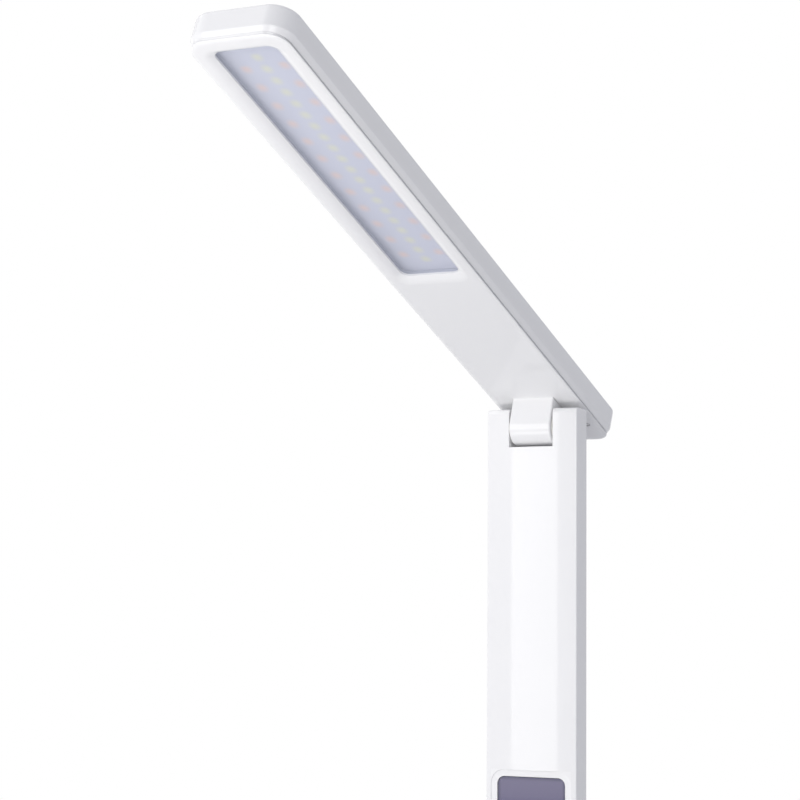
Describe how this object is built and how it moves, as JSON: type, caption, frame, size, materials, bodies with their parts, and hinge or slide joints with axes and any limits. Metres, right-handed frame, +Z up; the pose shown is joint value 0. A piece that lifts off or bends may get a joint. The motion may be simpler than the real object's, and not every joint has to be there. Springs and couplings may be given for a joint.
{
  "type": "led table lamp",
  "caption": "Folding LED table lamp: a flat head with a recessed milky lens tilts on a slim stem with a display window, and the stem folds down on a weighted slab base.",
  "frame": {"origin": "middle of the base's underside, on the table", "axes": "+Z up, -Y to the front, where the head points, +X to the right seen from the front"},
  "size_m": [0.16, 0.2727, 0.4425],
  "materials": {
    "white_shell": "high gloss moulded ABS",
    "white_underside": "fine matt moulded ABS",
    "milky_lens": "milky translucent acrylic",
    "led_board": "white solder mask",
    "cool_phosphor": "clear over pale yellow phosphor",
    "warm_phosphor": "clear over orange phosphor",
    "circuit_board": "green solder mask",
    "window_tint": "tinted glossy acrylic",
    "display_glass": "display glass, switched off",
    "button_white": "satin moulded",
    "switch_black": "black moulded",
    "bright_steel": "plated steel",
    "washer_nylon": "natural nylon",
    "wire_sheath": "soft PVC",
    "touch_gloss": "glossy acrylic",
    "ballast_steel": "rough steel plate",
    "pad_rubber": "foamed rubber",
    "contact_brass": "plated brass"
  },
  "bodies": {
    "base": {"base_top_cover": "white_shell", "base_bottom_cover": "white_underside", "base_hinge_post": "white_shell", "anti_slip_pad": "pad_rubber", "ballast_plate": "ballast_steel", "touch_panel": "touch_gloss", "touch_board": "circuit_board", "driver_board": "circuit_board", "power_socket": "switch_black", "socket_contact": "contact_brass", "base_screws": "bright_steel", "post_screws": "bright_steel", "base_wires": "wire_sheath"},
    "stem": {"stem_front_cover": "white_shell", "stem_rear_cover": "white_shell", "display_window": "window_tint", "display_panel": "display_glass", "display_board": "circuit_board", "set_switches": "switch_black", "coin_cell": "bright_steel", "cell_clip": "bright_steel", "upper_hinge_pins": "bright_steel", "upper_hinge_washers": "washer_nylon", "lower_hinge_pins": "bright_steel", "lower_hinge_washers": "washer_nylon", "stem_screws": "bright_steel", "stem_wires": "wire_sheath"},
    "head": {"head_top_cover": "white_shell", "head_bottom_frame": "white_shell", "head_hinge_knuckle": "white_shell", "diffuser_lens": "milky_lens", "led_board": "led_board", "cool_leds": "cool_phosphor", "warm_leds": "warm_phosphor", "knuckle_screws": "bright_steel", "head_screws": "bright_steel", "head_wires": "wire_sheath"},
    "upper_button": {"set_button_upper": "button_white"},
    "middle_button": {"set_button_middle": "button_white"},
    "lower_button": {"set_button_lower": "button_white"}
  },
  "joints": [
    {"name": "stem_fold", "type": "hinge", "parent": "base", "child": "stem", "pos_m": [0, 0.038, 0.0404], "axis": [1, 0, 0], "range_deg": [0, 90]},
    {"name": "head_tilt", "type": "hinge", "parent": "stem", "child": "head", "pos_m": [0, 0.038, 0.3194], "axis": [1, 0, 0], "range_deg": [0, 113.3]},
    {"name": "upper_button_press", "type": "slide", "parent": "stem", "child": "upper_button", "axis": [0, -1, 0], "range_m": [0, 0.0005], "stiffness_N_per_m": 400},
    {"name": "middle_button_press", "type": "slide", "parent": "stem", "child": "middle_button", "axis": [0, -1, 0], "range_m": [0, 0.0005], "stiffness_N_per_m": 400},
    {"name": "lower_button_press", "type": "slide", "parent": "stem", "child": "lower_button", "axis": [0, -1, 0], "range_m": [0, 0.0005], "stiffness_N_per_m": 400}
  ]
}
